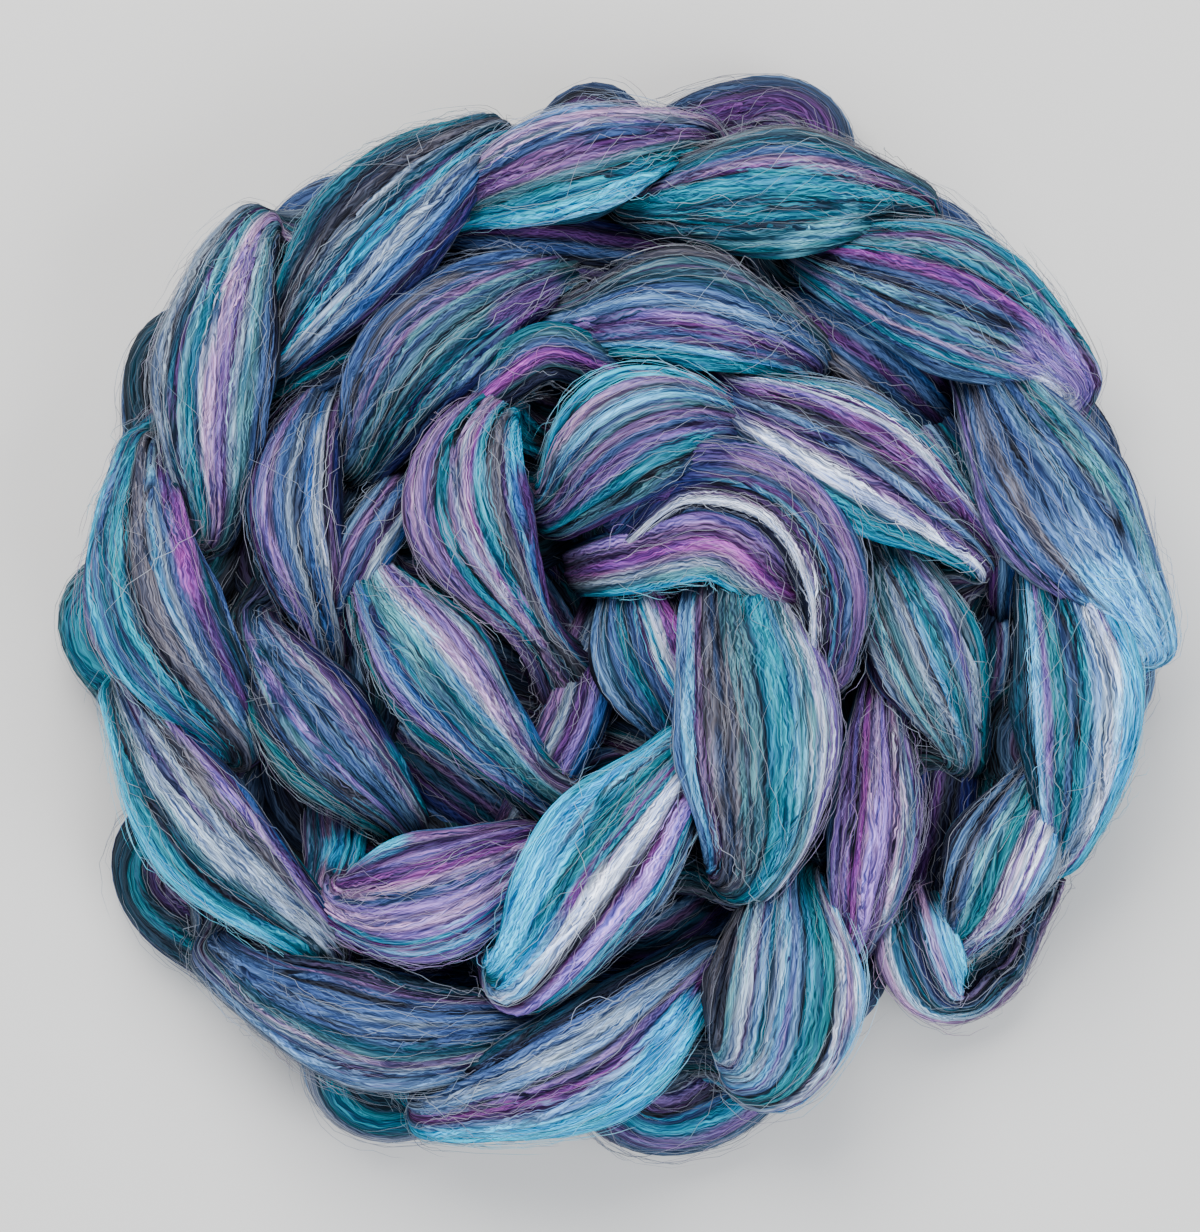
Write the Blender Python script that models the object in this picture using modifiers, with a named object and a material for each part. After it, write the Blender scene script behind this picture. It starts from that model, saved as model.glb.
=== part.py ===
"""A braid of wool roving: one length of combed top, plaited from three strands and laid down as a spiral coil.

The plait stands on its edge, so its upper folds show from above and its lower folds rest on the surface.
Sizes are in millimetres here and become metres in the mesh. The origin is the middle of the coil, on the surface.
"""

from math import cos, pi, sin, tau

import bmesh
import bpy
from mathutils import Matrix, Vector

MM = 0.001
STRANDS = 3  # strands in the plait: fold n belongs to strand n modulo 3
LOW_HEIGHT = 9.0  # centre line of the folds that rest on the surface
LOW_WIDTH = 29.0
NECK = 0.42  # width of a strand where it dives through the plait, against its width in a fold
DIVE = 0.66  # how near a strand dives to the tip of its fold
TIP = 0.80  # how much slimmer a fold's tips are than its row says
PULL = 0.06  # how far the tips are drawn in towards the crown
FLATNESS = 0.74  # thickness of a strand against its width
PLAIT_HALF = 5.0  # how far a strand swings to either side of the plait's centre line
STEP = 5.0  # spacing of the sections along a strand
SIDES = 14  # corners of a section
VOXEL = 2.0  # grid on which the strands are fused
TRIANGLES = 10900
MIDDLE = (-1.56, 0.50)  # middle of the coil's outline in the tables' x and y, which becomes the origin
CORE = {"width": 27.0, "thick": 27.0, "height": 18.0}  # where the strands cross inside the plait

# The upper folds, from the outer end of the coil to its middle, running anticlockwise.
# A fold starts on the coil's outer side, rises over its crown and ends on the inner side.
# Heights are those of the strand's centre line; a drop is how far an end lies under the crown;
# a share is the width of that end against the fold's full width.
FOLD = (
    "start_x start_y crown_x crown_y end_x end_y width height start_drop end_drop start_share end_share"
).split()
FOLDS = {
    "I": (57.5, -50, 61, -68, 67.5, -78, 18, 20, 9, 9, 0.75, 0.66),
    "H": (69.5, -64, 75.5, -48, 84, -32, 23, 29, 11, 9, 0.62, 0.62),
    "G": (88.5, -47, 91, -16, 85.5, 12, 27, 36, 11, 10, 0.55, 0.62),
    "F": (107.5, -5, 87.5, 22.5, 72.5, 49, 30, 38, 12, 11, 0.44, 0.6),
    "E": (90.5, 49.5, 65.5, 64, 37.5, 74, 30, 37, 11, 11, 0.56, 0.5),
    "D": (58.5, 84, 31.5, 85, 3.5, 83, 27, 37, 12, 11, 0.55, 0.6),
    "C": (13.5, 97, -10.5, 91, -33.5, 83, 23, 36, 10, 11, 0.6, 0.6),
    "B": (-27, 97, -49.5, 77, -68.5, 54, 28, 38, 12, 11, 0.6, 0.6),
    "A": (-74, 78.5, -81.5, 50, -82, 20, 26, 37, 11, 12, 0.6, 0.6),
    "O": (-97, 32.5, -93.5, 2, -76.5, -24.5, 27, 38, 12, 11, 0.56, 0.6),
    "N": (-100.5, -16, -83.5, -42, -60, -65, 24, 37, 11, 11, 0.6, 0.6),
    "M": (-81.5, -68.5, -50.5, -82, -16.5, -82, 24, 34, 11, 11, 0.6, 0.62),
    "L": (-39, -100, -6.5, -88, 16.5, -69, 27, 36, 12, 12, 0.55, 0.6),
    "J": (28, -89, 32, -73, 33.5, -51, 32, 35, 8, 11, 0.98, 0.55),
    "R": (47.5, -65, 50.5, -42, 51.5, -15, 19, 34, 12, 10, 0.7, 0.62),
    "S": (69.5, -27.5, 60.5, -6, 51.5, 16, 23, 33, 10, 11, 0.5, 0.62),
    "T": (73, 12.5, 45.5, 32, 18.5, 45.5, 26, 42, 12, 11, 0.5, 0.55),
    "U": (37, 54, 13.5, 62, -11.5, 59, 25, 40, 11, 11, 0.6, 0.6),
    "V": (-11.5, 71, -38.5, 54, -52.5, 32, 26, 36, 11, 11, 0.6, 0.62),
    "W": (-60.5, 46, -65, 22, -59.5, -5, 20, 35, 11, 11, 0.62, 0.6),
    "X": (-74.5, -2, -60.5, -22, -44.5, -40, 24, 33, 11, 10, 0.62, 0.6),
    "Z": (-57.5, -57, -38.5, -55, -17.5, -46, 26, 38, 11, 11, 0.65, 0.6),
    "AA": (-20.5, -72, -4.5, -48, 12.5, -27, 28, 45, 8, 9, 0.75, 0.62),
    "AB": (24.5, -51, 26.5, -24, 22, 3, 33, 48, 11, 14, 0.62, 0.85),
    "AC": (42, -9, 31.5, 24, -1, 18.5, 15, 48, 9, 9, 0.95, 0.8),
    "AD": (20.5, 39, 2.5, 36, -12.5, 22, 29, 47, 11, 11, 0.6, 0.6),
    "AE": (-26.5, 42, -30.5, 22, -16.5, -4, 26, 47, 11, 12, 0.62, 0.5),
    "AF": (-50.5, 9, -36.5, -10, -19.5, -31, 24, 43, 12, 11, 0.6, 0.62),
    "AG": (12.5, -24, 4, -8, 1, 6, 22, 33, 8, 6, 0.7, 0.75),
}

# The lower folds that peep out beyond the upper ones, each after the fold that it is named for.
LOW = "x y width".split()
LOWER = {
    "D": (24, 97, 26),
    "C": (-10, 90, 27),
    "A": (-88, 37, 27),
    "O": (-96.5, -9, 27),
    "N": (-83, -60.5, 25),
    "M": (-39.5, -92.5, 26),
    "L": (21, -91.5, 26),
}

# Short lengths of strand that show in the gaps between the folds.
LINK = "start_x start_y middle_x middle_y end_x end_y width height".split()
LINKS = {
    "arch": (-28.5, 44, -15.5, 53, -3.5, 50, 12, 40),
    "inner band": (-1, 11.5, 18, 15.5, 31, 7, 16, 42),
    "west band": (-45.5, 24, -51.5, 14, -55.5, 4, 12, 33),
    "middle": (-5.5, -4, -10.5, -22, -19.5, -39, 13, 27),
    "east link": (37.5, 62, 49.5, 54, 61.5, 44, 15, 25),
    "north link": (-32.5, 77, -12.5, 76, 5.5, 74, 13, 25),
    "corner link": (-67.5, 46, -56.5, 52, -44.5, 56, 9, 27),
    "side link": (76.5, 19, 77.5, 12, 77.5, 4, 9, 27),
    "under X": (-46, -24, -33, -34, -20, -44, 19, 16),
    "under AA": (-6, -66, 7, -63, 18, -56, 19, 16),
    "under S": (76, 6, 76, -8, 73, -22, 15, 15),
    "under T": (56, 44, 64, 34, 68, 22, 13, 18),
    "beside H": (66.5, -24, 64, -38, 61.5, -55, 17, 18),
    "under V": (-50, 27, -41, 36, -31, 44, 14, 15),
    "under AE": (-19, 11, -13, 1.5, -7, -8, 14, 11),
    "under Z": (-60, -60, -45, -67, -26, -68, 16, 15),
    "under AG": (-12, -36, -5, -29, 4, -28, 13, 15),
    "under the arch": (-18, 22, -12.5, 13, -8, 4, 12, 11),
    "under the band": (4, 10, 12, 5, 18, -2, 14, 18),
}

# Where each strand begins, before its first fold, and ends, after its last one, tucked inside the coil.
END = "x y height width".split()
BEGINNINGS = {
    "I": ((50, -36, 14, 15), (53, -42, 16, 15)),
    "H": ((54, -64, 9, 15), (61, -65, 12, 14)),
    "G": ((68, -40, 10, 18), (79, -44, 13, 15)),
}
ENDINGS = {
    "AE": ((-10, -14, 20, 17), (-4, -22, 12, 17)),
    "AF": ((-9, -38, 22, 15), (2, -40, 12, 17)),
    "AG": ((-2, 13, 18, 15), (-5, 20, 12, 15)),
}
# The outer end of the coil wraps round the tip of the next fold.
TURNS = {"I": ((76.5, -72.5, 11, 9), (82.5, -62, 11, 7), (87.2, -53, 9, 6))}
# Points between the start and crown of a fold, and between its crown and end.
BENDS = {"AC": ((41.5, 9, 46, 15), (13, 28.5, 47, 14))}


def spline(points, at):
    """The point at a fractional index of a smooth curve through the points; past an end it runs straight on."""
    last = len(points) - 1
    i = min(max(int(at), 0), last - 1)
    t = at - i
    a, b = points[i], points[i + 1]
    before = points[i - 1] if i else [2 * p - q for p, q in zip(a, b)]
    after = points[i + 2] if i + 2 <= last else [2 * q - p for p, q in zip(a, b)]
    if t < 0 or t > 1:
        return [p + (q - p) * t for p, q in zip(a, b)]
    return [
        q + t / 2 * (r - p + t * (2 * p - 5 * q + 4 * r - s + t * (3 * (q - r) + s - p)))
        for p, q, r, s in zip(before, a, b, after)
    ]


def plait_line():
    """The centre line of the plait, seen from above, through the crowns of its folds."""
    x = FOLD.index("crown_x")
    return [row[x : x + 2] for row in FOLDS.values()]


def outward(at):
    """The direction out of the coil, across the plait, at a fold number."""
    line = plait_line()
    along = Vector(spline(line, at + 0.05)) - Vector(spline(line, at - 0.05))
    return Vector((along.y, -along.x)).normalized()


def low_path(number, before, after):
    """A strand's way under the next two folds: down at the tip of one, round the plait's lower edge, up to the next."""
    names = list(FOLDS)
    line = plait_line()
    low = dict(zip(LOW, LOWER.get(names[number + 1], ())))
    middle = Vector(spline(line, number + 1.5))
    crest = middle - outward(number + 1.5) * 1.5
    if low:
        crest = Vector((low["x"], low["y"]))
    width = low.get("width", LOW_WIDTH)
    down = Vector((before["end_x"], before["end_y"]))
    if names[number] in TURNS:
        down = Vector(TURNS[names[number]][-1][:2])
    up = Vector((after["start_x"], after["start_y"]))
    path = []
    for share, swing, rise, size, turn, tip in (
        (0.29, 0.0, 0.34, NECK, 1.0, down),
        (0.38, 1.0, 0.14, 0.88, 1.25, None),
        (0.50, 0.0, 0.0, 1.0, 1.5, None),
        (0.62, -1.0, 0.14, 0.88, 1.75, None),
        (0.71, 0.0, 0.34, NECK, 2.0, up),
    ):
        at = number + STRANDS * share
        place = Vector(spline(line, at)) + outward(at) * PLAIT_HALF * swing
        if swing:  # the sides of a lower fold follow its crest
            place += (crest - middle) * 0.6
        elif size == 1.0:
            place = crest
        else:  # the strand dives near the tip of its fold
            place += (tip - place) * DIVE
        crown = before["height"] if share < 0.5 else after["height"]
        path.append((place.x, place.y, LOW_HEIGHT + (crown - LOW_HEIGHT) * rise, width * size, turn * pi))
    return path


def strand_path(first):
    """Points of one strand, each x, y, z, width and how far round the plait it has come."""
    names = list(FOLDS)
    rows = [dict(zip(FOLD, row)) for row in FOLDS.values()]
    path = [(*point, 0.0) for point in BEGINNINGS[names[first]]]
    for lap, number in enumerate(range(first, len(rows), STRANDS)):
        row = rows[number]
        bends = dict(zip(("start", "crown"), BENDS.get(names[number], ())))
        for place, turn in (("start", 0.16), ("crown", 0.5), ("end", 0.84)):
            height = row["height"] - row.get(place + "_drop", 0)
            width = row["width"] * row.get(place + "_share", 1.0) * (1.0 if place == "crown" else TIP)
            x, y = (row[place + c] + (row["crown" + c] - row[place + c]) * PULL for c in ("_x", "_y"))
            path.append((x, y, height, width, turn * pi + lap * tau))
            if place in bends:
                path.append((*bends[place], (turn + 0.17) * pi + lap * tau))
        path += [(*point, pi * 0.95 + lap * tau) for point in TURNS.get(names[number], ())]
        if number + STRANDS < len(rows):
            under = low_path(number, row, rows[number + STRANDS])
            path += [(*p[:4], p[4] + lap * tau) for p in under]
        else:
            path += [(*point, pi + lap * tau) for point in ENDINGS[names[number]]]
    return path


def link_path(row):
    """Points of a short link, whose ends dive into the plait."""
    r = dict(zip(LINK, row))
    start, middle, end = (Vector((r[k + "_x"], r[k + "_y"])) for k in ("start", "middle", "end"))
    tail, head = start + (start - middle) * 0.45, end + (end - middle) * 0.45
    return [
        (tail.x, tail.y, r["height"] - 15, r["width"] * 0.7, pi / 2),
        (start.x, start.y, r["height"] - 6, r["width"] * 0.85, pi / 2),
        (middle.x, middle.y, r["height"], r["width"], pi / 2),
        (end.x, end.y, r["height"] - 6, r["width"] * 0.85, pi / 2),
        (head.x, head.y, r["height"] - 15, r["width"] * 0.7, pi / 2),
    ]


def sections(path, thickness=FLATNESS):
    """Matrices that place a unit circle along a strand, turned so that its flat side faces out of the plait."""
    spans = [(Vector(b[:3]) - Vector(a[:3])).length for a, b in zip(path, path[1:])]
    stops = [i + j / n for i, s in enumerate(spans) for n in [max(1, round(s / STEP))] for j in range(n)]
    placed = []
    for at in stops + [len(path) - 1.0]:
        x, y, z, width, turn = spline(path, at)
        along = Vector(spline(path, at + 0.05)[:3]) - Vector(spline(path, at - 0.05)[:3])
        along.normalize()
        ahead = Vector(spline(path, at + 0.8)[:2]) - Vector(spline(path, at - 0.8)[:2])
        ahead.normalize()
        face = Vector((-ahead.x * cos(turn), -ahead.y * cos(turn), abs(sin(turn)) + 0.15))
        face = (face - along * face.dot(along)).normalized()
        side = along.cross(face)
        turned = Matrix((side, face, along)).transposed().to_4x4()
        size = Matrix.Diagonal((width / 2, width / 2 * thickness, 1.0, 1.0))
        placed.append(Matrix.Translation((x, y, z)) @ turned @ size)
    return placed


def loft(bm, placed, sides=SIDES):
    """A closed strand, drawn out from a circle through its sections."""
    ring = bmesh.ops.create_circle(bm, cap_ends=True, segments=sides, radius=1.0, matrix=placed[0])["verts"]
    edges = list({e for v in ring for e in v.link_edges})
    for here, there in zip(placed, placed[1:]):
        made = bmesh.ops.extrude_edge_only(bm, edges=edges)["geom"]
        verts = [g for g in made if isinstance(g, bmesh.types.BMVert)]
        edges = [g for g in made if isinstance(g, bmesh.types.BMEdge) and g.is_boundary]
        bmesh.ops.transform(bm, matrix=there @ here.inverted(), verts=verts)
    bmesh.ops.holes_fill(bm, edges=edges, sides=0)


def core_path():
    """The inside of the plait, where its strands cross."""
    line = plait_line()
    count = 2 * (len(line) - 1)
    return [(*spline(line, k / 2), CORE["height"], CORE["width"], pi / 2) for k in range(count + 1)]


def mesh_object(name, bm, collection):
    """A new object from a bmesh whose sizes are in millimetres."""
    bmesh.ops.recalc_face_normals(bm, faces=bm.faces)
    bmesh.ops.scale(bm, vec=(MM, MM, MM), verts=bm.verts)
    mesh = bpy.data.meshes.new(name)
    bm.to_mesh(mesh)
    bm.free()
    obj = bpy.data.objects.new(name, mesh)
    collection.objects.link(obj)
    return obj


def evaluated_mesh(obj):
    """The object's mesh with its modifiers applied."""
    graph = bpy.context.evaluated_depsgraph_get()
    graph.update()
    return bpy.data.meshes.new_from_object(obj.evaluated_get(graph))


def largest_shell(mesh):
    """Keeps the outer skin of a fused mesh and drops what floats loose inside it."""
    bm = bmesh.new()
    bm.from_mesh(mesh)
    left, shells = set(bm.verts), []
    while left:
        todo = [left.pop()]
        shell = set(todo)
        while todo:
            for edge in todo.pop().link_edges:
                for vert in edge.verts:
                    if vert in left:
                        left.remove(vert)
                        shell.add(vert)
                        todo.append(vert)
        shells.append(shell)
    biggest = max(shells, key=len)
    loose = [v for s in shells if s is not biggest for v in s]
    bmesh.ops.delete(bm, geom=loose, context="VERTS")
    bm.to_mesh(mesh)
    bm.free()


def wool_material():
    """Blended dyed wool: a matt slate teal stands for its many colours."""
    material = bpy.data.materials.new("dyed wool")
    material.use_nodes = True
    shader = material.node_tree.nodes["Principled BSDF"]
    shader.inputs["Base Color"].default_value = (0.17, 0.24, 0.33, 1.0)
    shader.inputs["Roughness"].default_value = 0.9
    shader.inputs["Metallic"].default_value = 0.0
    return material


def build():
    """The strands, fused into one solid that rests on a flat underside."""
    parts = bpy.data.collections.new("braid of wool roving")
    tools = bpy.data.collections.new("cutters")
    for made in (parts, tools):
        bpy.context.scene.collection.children.link(made)

    bm = bmesh.new()
    for first in range(STRANDS):
        loft(bm, sections(strand_path(first)))
    for row in LINKS.values():
        loft(bm, sections(link_path(row)))
    loft(bm, sections(core_path(), CORE["thick"] / CORE["width"]))
    braid = mesh_object("wool_braid", bm, parts)
    braid.data.materials.append(wool_material())

    fuse = braid.modifiers.new("fuse", "REMESH")
    fuse.mode = "VOXEL"
    fuse.voxel_size = VOXEL * MM
    ease = braid.modifiers.new("ease", "SMOOTH")
    ease.factor, ease.iterations = 0.5, 1
    fused = evaluated_mesh(braid)
    braid.modifiers.clear()
    braid.data = fused
    fused.name = "wool_braid"
    largest_shell(fused)
    fused.transform(Matrix.Translation((-MIDDLE[0] * MM, -MIDDLE[1] * MM, 0)))

    bm = bmesh.new()
    block = Matrix.Translation((0, 0, -20)) @ Matrix.Diagonal((300, 300, 40, 1))
    bmesh.ops.create_cube(bm, size=1.0, matrix=block)
    floor = mesh_object("underside cutter", bm, tools)
    floor.hide_render = True
    floor.display_type = "WIRE"

    thin = braid.modifiers.new("fewer faces", "DECIMATE")
    thin.ratio = TRIANGLES / sum(len(p.vertices) - 2 for p in fused.polygons)
    rest = braid.modifiers.new("flat underside", "BOOLEAN")
    rest.operation, rest.solver, rest.object = "DIFFERENCE", "EXACT", floor


def main():
    for obj in list(bpy.data.objects):
        bpy.data.objects.remove(obj, do_unlink=True)
    build()


main()
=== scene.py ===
"""Looks of the braid of wool roving, over its CAD solid.

Three strands of blended dyed wool are plaited and coiled. Each strand is a tube rolled up from a grid
and laid along the route that the solid follows, with ridges and grooves where its dyes change. Links
show between the folds, and locks and single fibres lie on top. Tables are in millimetres, and dyes are
charted across each fold.
"""

from math import pi, tau

import bmesh
import bpy
import numpy as np
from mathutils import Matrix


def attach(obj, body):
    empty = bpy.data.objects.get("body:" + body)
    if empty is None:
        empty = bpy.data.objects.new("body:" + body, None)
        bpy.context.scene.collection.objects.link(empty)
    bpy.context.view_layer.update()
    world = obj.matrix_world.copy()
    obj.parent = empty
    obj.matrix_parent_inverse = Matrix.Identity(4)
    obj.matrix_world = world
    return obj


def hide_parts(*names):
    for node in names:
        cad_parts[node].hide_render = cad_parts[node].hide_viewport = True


bl_info = {
    "name": "Braid of wool roving",
    "version": (1, 0, 0),
    "blender": (4, 2, 0),
    "location": "3D View > Sidebar > Wool braid",
    "description": "A coiled three-strand plait of dyed combed wool",
    "category": "Add Mesh",
}

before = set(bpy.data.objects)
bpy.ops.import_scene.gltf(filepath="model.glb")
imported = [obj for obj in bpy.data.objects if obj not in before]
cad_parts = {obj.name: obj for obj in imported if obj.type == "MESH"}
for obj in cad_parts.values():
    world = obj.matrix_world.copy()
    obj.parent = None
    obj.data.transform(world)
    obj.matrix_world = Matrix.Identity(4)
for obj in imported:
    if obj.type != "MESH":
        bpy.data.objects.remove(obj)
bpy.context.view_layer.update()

MM = 0.001
NODE = "wool_braid"
STRANDS = 3
MIDDLE = (-1.56, 0.50)  # the solid's centre on the tables' plane

# Routes of the folds.
LOW_HEIGHT = 9.0  # of a lower fold's centre line
LOW_WIDTH = 29.0
LOW_INSET = 1.5  # of a lower fold's crest from the plait's centre line
CREST_PULL = 0.6  # how far the points beside that crest follow it
PLAIT_HALF = 5.0  # how far a lower fold swings to either side
NECK = 0.42  # share of its width that a strand keeps where it dives
DIVE = 0.66  # how far a neck lies towards the tip of the upper fold
TIP = 0.80  # share of its width at the ends of an upper fold
PULL = 0.06  # how far those ends are drawn back to the crown
FOLD_TURNS = {"start": 0.16, "crown": 0.5, "end": 0.84}  # half turns round the plait
BEND_TURN = 0.17  # half turns between one of these and the bend after it
HOOK_TURN = 0.95
LINK_REACH = 0.45  # how far a link runs on, as a share of its half

# Sections along a route and corners round them.
SAMPLES = 50  # of the spline between a route's points
NEAR, AHEAD = 0.05, 0.8  # spans for the way along, in points of a route
FACE_UP = 0.15  # least upward lean of the outer side
BEND_REACH = 9.0  # length that a turn of one radian counts for
FLATNESS = 0.74  # height of a section by its width
TOP_SHARE = 0.7  # share of the corners on the outer side
OVERHANG = 0.12  # angle by which that side reaches past the edges
LINK_RINGS, LINK_CORNERS = 30, 56

# Dyes.
DYE_DEPTH = 1.46  # saturation of the wool by that of the palette
WOOL_TINT = (0.90, 0.93, 1.0)
SWITCH = 0.62  # share of the way from an upper chart to a lower one where the lower begins
TILE = 64  # cells of chance values before they repeat

# Loose wool.
RIM = 82.0  # radius past which the lower folds show
UNDER_LOCKS = 0.08  # share of the locks on the undersides
RIM_FIBRES = 0.42  # share of the fibres that stand off the folds' edges
LOOSE_FIBRES = 0.22  # share of the fibres that cross the combing
FIBRE_PIECES = 3
PALE_FIBRE = np.array((0.52, 0.56, 0.68))

GRIDS = ("points", "dye", "second", "along", "across")  # what rolled takes
TUBES = {}  # the strands by number and the links by name

# Folds on top, in the plait's order from its outer end. The shares of the width are in hundredths.
FOLD = (
    "start_x start_y crown_x crown_y end_x end_y width height start_drop end_drop start_share end_share"
).split()
FOLDS = {
    "I": (57.5, -50, 61, -68, 67.5, -78, 18, 20, 9, 9, 75, 66),
    "H": (69.5, -64, 75.5, -48, 84, -32, 23, 29, 11, 9, 62, 62),
    "G": (88.5, -47, 91, -16, 85.5, 12, 27, 36, 11, 10, 55, 62),
    "F": (107.5, -5, 87.5, 22.5, 72.5, 49, 30, 38, 12, 11, 44, 60),
    "E": (90.5, 49.5, 65.5, 64, 37.5, 74, 30, 37, 11, 11, 56, 50),
    "D": (58.5, 84, 31.5, 85, 3.5, 83, 27, 37, 12, 11, 55, 60),
    "C": (13.5, 97, -10.5, 91, -33.5, 83, 23, 36, 10, 11, 60, 60),
    "B": (-27, 97, -49.5, 77, -68.5, 54, 28, 38, 12, 11, 60, 60),
    "A": (-74, 78.5, -81.5, 50, -82, 20, 26, 37, 11, 12, 60, 60),
    "O": (-97, 32.5, -93.5, 2, -76.5, -24.5, 27, 38, 12, 11, 56, 60),
    "N": (-100.5, -16, -83.5, -42, -60, -65, 24, 37, 11, 11, 60, 60),
    "M": (-81.5, -68.5, -50.5, -82, -16.5, -82, 24, 34, 11, 11, 60, 62),
    "L": (-39, -100, -6.5, -88, 16.5, -69, 27, 36, 12, 12, 55, 60),
    "J": (28, -89, 32, -73, 33.5, -51, 32, 35, 8, 11, 98, 55),
    "R": (47.5, -65, 50.5, -42, 51.5, -15, 19, 34, 12, 10, 70, 62),
    "S": (69.5, -27.5, 60.5, -6, 51.5, 16, 23, 33, 10, 11, 50, 62),
    "T": (73, 12.5, 45.5, 32, 18.5, 45.5, 26, 42, 12, 11, 50, 55),
    "U": (37, 54, 13.5, 62, -11.5, 59, 25, 40, 11, 11, 60, 60),
    "V": (-11.5, 71, -38.5, 54, -52.5, 32, 26, 36, 11, 11, 60, 62),
    "W": (-60.5, 46, -65, 22, -59.5, -5, 20, 35, 11, 11, 62, 60),
    "X": (-74.5, -2, -60.5, -22, -44.5, -40, 24, 33, 11, 10, 62, 60),
    "Z": (-57.5, -57, -38.5, -55, -17.5, -46, 26, 38, 11, 11, 65, 60),
    "AA": (-20.5, -72, -4.5, -48, 12.5, -27, 28, 45, 8, 9, 75, 62),
    "AB": (24.5, -51, 26.5, -24, 22, 3, 33, 48, 11, 14, 62, 85),
    "AC": (42, -9, 31.5, 24, -1, 18.5, 15, 48, 9, 9, 95, 80),
    "AD": (20.5, 39, 2.5, 36, -12.5, 22, 29, 47, 11, 11, 60, 60),
    "AE": (-26.5, 42, -30.5, 22, -16.5, -4, 26, 47, 11, 12, 62, 50),
    "AF": (-50.5, 9, -36.5, -10, -19.5, -31, 24, 43, 12, 11, 60, 62),
    "AG": (12.5, -24, 4, -8, 1, 6, 22, 33, 8, 6, 70, 75),
}

# Crests and widths of the lower folds that show, each named for the upper fold before it.
LOWER = {
    "D": (24, 97, 26),
    "C": (-10, 90, 27),
    "A": (-88, 37, 27),
    "O": (-96.5, -9, 27),
    "N": (-83, -60.5, 25),
    "M": (-39.5, -92.5, 26),
    "L": (21, -91.5, 26),
}

LINK = "start_x start_y middle_x middle_y end_x end_y width height".split()
LINKS = {
    "arch": (-28.5, 44, -15.5, 53, -3.5, 50, 12, 40),
    "inner band": (-1, 11.5, 18, 15.5, 31, 7, 16, 42),
    "west band": (-45.5, 24, -51.5, 14, -55.5, 4, 12, 33),
    "middle": (-5.5, -4, -10.5, -22, -19.5, -39, 13, 27),
    "east link": (37.5, 62, 49.5, 54, 61.5, 44, 15, 25),
    "north link": (-32.5, 77, -12.5, 76, 5.5, 74, 13, 25),
    "corner link": (-67.5, 46, -56.5, 52, -44.5, 56, 9, 27),
    "side link": (76.5, 19, 77.5, 12, 77.5, 4, 9, 27),
    "under X": (-46, -24, -33, -34, -20, -44, 19, 16),
    "under AA": (-6, -66, 7, -63, 18, -56, 19, 16),
    "under S": (76, 6, 76, -8, 73, -22, 15, 15),
    "under T": (56, 44, 64, 34, 68, 22, 13, 18),
    "beside H": (66.5, -24, 64, -38, 61.5, -55, 17, 18),
    "under V": (-50, 27, -41, 36, -31, 44, 14, 15),
    "under AE": (-19, 11, -13, 1.5, -7, -8, 14, 11),
    "under Z": (-60, -60, -45, -67, -26, -68, 16, 15),
    "under AG": (-12, -36, -5, -29, 4, -28, 13, 15),
    "under the arch": (-18, 22, -12.5, 13, -8, 4, 12, 11),
    "under the band": (4, 10, 12, 5, 18, -2, 14, 18),
}

BEGINNINGS = {
    "I": ((50, -36, 14, 15), (53, -42, 16, 15)),
    "H": ((54, -64, 9, 15), (61, -65, 12, 14)),
    "G": ((68, -40, 10, 18), (79, -44, 13, 15)),
}
ENDINGS = {
    "AE": ((-10, -14, 20, 17), (-4, -22, 12, 17)),
    "AF": ((-9, -38, 22, 15), (2, -40, 12, 17)),
    "AG": ((-2, 13, 18, 15), (-5, 20, 12, 15)),
}
TURNS = {"I": ((76.5, -72.5, 11, 9), (82.5, -62, 11, 7), (87.2, -53, 9, 6))}
BENDS = {"AC": ((41.5, 9, 46, 15), (13, 28.5, 47, 14))}


def charts(text):
    """A text's rows, each a name and what follows its colon, as a dict."""
    return dict(row.strip().split(": ") for row in text.split(";"))
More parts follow.
